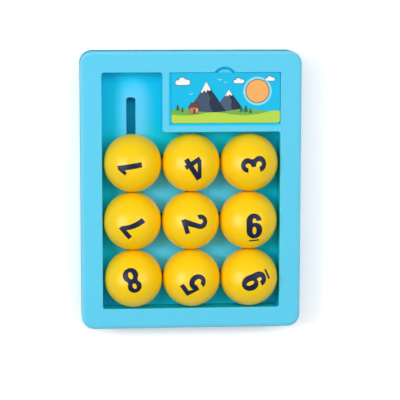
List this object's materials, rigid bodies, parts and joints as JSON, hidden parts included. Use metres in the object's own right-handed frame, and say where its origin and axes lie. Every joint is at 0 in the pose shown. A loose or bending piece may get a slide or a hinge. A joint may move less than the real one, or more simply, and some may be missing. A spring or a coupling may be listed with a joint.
{
  "type": "sliding ball puzzle",
  "caption": "Shallow blue hand-held puzzle case with numbered yellow balls that slide and turn on pivots in a grid of slots, one free cell and a lift-out picture card.",
  "frame": {"origin": "middle of the underside of the case", "axes": "+X to the right across the face, +Y along the length towards the picture card, +Z out of the face"},
  "size_m": [0.095, 0.12, 0.026],
  "materials": {
    "case_plastic": "satin moulded, sky blue",
    "ball_plastic": "polished, golden yellow, with a dark blue printed numeral",
    "glide_acetal": "natural white",
    "screw_steel": "bright zinc",
    "card_print": "printed card, satin"
  },
  "bodies": {
    "case": {"front_frame": "case_plastic", "track_plate": "case_plastic", "back_cover": "case_plastic", "case_screws": "screw_steel", "island_screws": "screw_steel", "track_island_1": "case_plastic", "track_island_2": "case_plastic", "track_island_3": "case_plastic", "track_island_4": "case_plastic", "glide_4": "glide_acetal", "glide_3": "glide_acetal", "glide_7": "glide_acetal", "glide_2": "glide_acetal", "glide_6": "glide_acetal", "glide_8": "glide_acetal", "glide_5": "glide_acetal", "glide_9": "glide_acetal"},
    "glide_1": {"glide_1": "glide_acetal"},
    "ball_1": {"ball_1": "ball_plastic", "pivot_screw_1": "screw_steel"},
    "ball_4": {"ball_4": "ball_plastic", "pivot_screw_4": "screw_steel"},
    "ball_3": {"ball_3": "ball_plastic", "pivot_screw_3": "screw_steel"},
    "ball_7": {"ball_7": "ball_plastic", "pivot_screw_7": "screw_steel"},
    "ball_2": {"ball_2": "ball_plastic", "pivot_screw_2": "screw_steel"},
    "ball_6": {"ball_6": "ball_plastic", "pivot_screw_6": "screw_steel"},
    "ball_8": {"ball_8": "ball_plastic", "pivot_screw_8": "screw_steel"},
    "ball_5": {"ball_5": "ball_plastic", "pivot_screw_5": "screw_steel"},
    "ball_9": {"ball_9": "ball_plastic", "pivot_screw_9": "screw_steel"},
    "picture_card": {"picture_card": "card_print"}
  },
  "joints": [
    {"name": "ball_1_slide", "type": "slide", "parent": "case", "child": "glide_1", "axis": [0, 1, 0], "range_m": [0, 0.0262]},
    {"name": "ball_1_spin", "type": "hinge", "parent": "glide_1", "child": "ball_1", "pos_m": [-0.02515, 0.01205, 0.0135], "axis": [0, 0, 1], "continuous": true},
    {"name": "ball_4_spin", "type": "hinge", "parent": "case", "child": "ball_4", "pos_m": [0, 0.01205, 0.0135], "axis": [0, 0, 1], "continuous": true},
    {"name": "ball_3_spin", "type": "hinge", "parent": "case", "child": "ball_3", "pos_m": [0.02515, 0.01205, 0.0135], "axis": [0, 0, 1], "continuous": true},
    {"name": "ball_7_spin", "type": "hinge", "parent": "case", "child": "ball_7", "pos_m": [-0.02535, -0.0131, 0.0135], "axis": [0, 0, 1], "continuous": true},
    {"name": "ball_2_spin", "type": "hinge", "parent": "case", "child": "ball_2", "pos_m": [-0.0002, -0.0131, 0.0135], "axis": [0, 0, 1], "continuous": true},
    {"name": "ball_6_spin", "type": "hinge", "parent": "case", "child": "ball_6", "pos_m": [0.02495, -0.0131, 0.0135], "axis": [0, 0, 1], "continuous": true},
    {"name": "ball_8_spin", "type": "hinge", "parent": "case", "child": "ball_8", "pos_m": [-0.02495, -0.03825, 0.0135], "axis": [0, 0, 1], "continuous": true},
    {"name": "ball_5_spin", "type": "hinge", "parent": "case", "child": "ball_5", "pos_m": [0.0002, -0.03825, 0.0135], "axis": [0, 0, 1], "continuous": true},
    {"name": "ball_9_spin", "type": "hinge", "parent": "case", "child": "ball_9", "pos_m": [0.02535, -0.03825, 0.0135], "axis": [0, 0, 1], "continuous": true},
    {"name": "card_lift", "type": "slide", "parent": "case", "child": "picture_card", "axis": [0, 0, 1], "range_m": [0, 0.02]}
  ]
}
